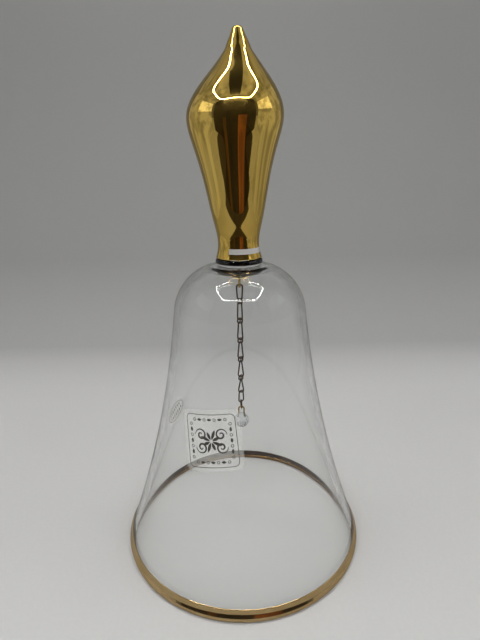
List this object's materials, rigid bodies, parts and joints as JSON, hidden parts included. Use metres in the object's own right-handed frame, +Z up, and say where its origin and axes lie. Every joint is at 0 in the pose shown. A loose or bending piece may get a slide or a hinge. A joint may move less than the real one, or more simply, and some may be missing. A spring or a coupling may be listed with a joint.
{
  "type": "glass hand bell",
  "caption": "Clear blown-glass hand bell with a gilded spindle handle and rim, and a faceted crystal clapper on a fine link chain.",
  "frame": {"origin": "centre of the rim's resting plane", "axes": "+Z up the bell's axis to the handle's tip, -Y towards the labels"},
  "size_m": [0.09, 0.09, 0.1752],
  "materials": {
    "clear_glass": "clear polished blown glass",
    "fired_gold": "bright mirror gilding",
    "brass_wire": "drawn wire",
    "aged_chain": "dark antique brass",
    "crystal": "cut and polished",
    "label_film": "clear film with dark print"
  },
  "bodies": {
    "bell": {"bell_body": "clear_glass", "rim_gilding": "fired_gold", "neck_collar": "clear_glass", "handle_glass": "clear_glass", "handle_gilding": "fired_gold", "crown_drop": "clear_glass", "eye_wire": "brass_wire", "square_label": "label_film", "oval_label": "label_film"},
    "long_link_1": {"long_link_1": "aged_chain"},
    "small_ring_1": {"small_ring_1": "aged_chain"},
    "long_link_2": {"long_link_2": "aged_chain"},
    "small_ring_2": {"small_ring_2": "aged_chain"},
    "long_link_3": {"long_link_3": "aged_chain"},
    "small_ring_3": {"small_ring_3": "aged_chain"},
    "long_link_4": {"long_link_4": "aged_chain"},
    "small_ring_4": {"small_ring_4": "aged_chain"},
    "long_link_5": {"long_link_5": "aged_chain"},
    "small_ring_5": {"small_ring_5": "aged_chain"},
    "long_link_6": {"long_link_6": "aged_chain"},
    "oval_link": {"oval_link": "aged_chain"},
    "thin_ring": {"thin_ring": "aged_chain"},
    "clapper": {"clapper_staple": "brass_wire", "clapper_bead": "crystal"}
  },
  "joints": [
    {"name": "long_link_1_swing", "type": "hinge", "parent": "bell", "child": "long_link_1", "pos_m": [0, 0, 0.0982], "axis": [0, 1, 0], "range_deg": [-24, 24]},
    {"name": "small_ring_1_swing", "type": "hinge", "parent": "long_link_1", "child": "small_ring_1", "pos_m": [0, 0, 0.09331], "axis": [0.7071, -0.7071, 0], "range_deg": [-25, 25]},
    {"name": "long_link_2_swing", "type": "hinge", "parent": "small_ring_1", "child": "long_link_2", "pos_m": [0, 0, 0.09265], "axis": [0.6018, 0.7986, 0], "range_deg": [-25, 25]},
    {"name": "small_ring_2_swing", "type": "hinge", "parent": "long_link_2", "child": "small_ring_2", "pos_m": [0, 0, 0.08611], "axis": [-0.7986, 0.6018, 0], "range_deg": [-25, 25]},
    {"name": "long_link_3_swing", "type": "hinge", "parent": "small_ring_2", "child": "long_link_3", "pos_m": [0, 0, 0.08545], "axis": [0.4848, 0.8746, 0], "range_deg": [-25, 25]},
    {"name": "small_ring_3_swing", "type": "hinge", "parent": "long_link_3", "child": "small_ring_3", "pos_m": [0, 0, 0.07891], "axis": [0.8746, -0.4848, 0], "range_deg": [-25, 25]},
    {"name": "long_link_4_swing", "type": "hinge", "parent": "small_ring_3", "child": "long_link_4", "pos_m": [0, 0, 0.07825], "axis": [-0.3584, -0.9336, 0], "range_deg": [-25, 25]},
    {"name": "small_ring_4_swing", "type": "hinge", "parent": "long_link_4", "child": "small_ring_4", "pos_m": [0, 0, 0.07171], "axis": [-0.9336, 0.3584, 0], "range_deg": [-25, 25]},
    {"name": "long_link_5_swing", "type": "hinge", "parent": "small_ring_4", "child": "long_link_5", "pos_m": [0, 0, 0.07105], "axis": [-0.225, -0.9744, 0], "range_deg": [-25, 25]},
    {"name": "small_ring_5_swing", "type": "hinge", "parent": "long_link_5", "child": "small_ring_5", "pos_m": [0, 0, 0.06451], "axis": [-0.9744, 0.225, 0], "range_deg": [-25, 25]},
    {"name": "long_link_6_swing", "type": "hinge", "parent": "small_ring_5", "child": "long_link_6", "pos_m": [0, 0, 0.06385], "axis": [-0.0872, -0.9962, 0], "range_deg": [-20, 20]},
    {"name": "oval_link_swing", "type": "hinge", "parent": "long_link_6", "child": "oval_link", "pos_m": [0, 0, 0.05882], "axis": [-0.6428, -0.766, 0], "range_deg": [-20, 20]},
    {"name": "thin_ring_swing", "type": "hinge", "parent": "oval_link", "child": "thin_ring", "pos_m": [0, 0, 0.05442], "axis": [-0.8192, -0.5736, 0], "range_deg": [-25, 25]},
    {"name": "clapper_swing", "type": "hinge", "parent": "thin_ring", "child": "clapper", "pos_m": [0, 0, 0.05233], "axis": [1, 0, 0], "range_deg": [-25, 25]}
  ]
}
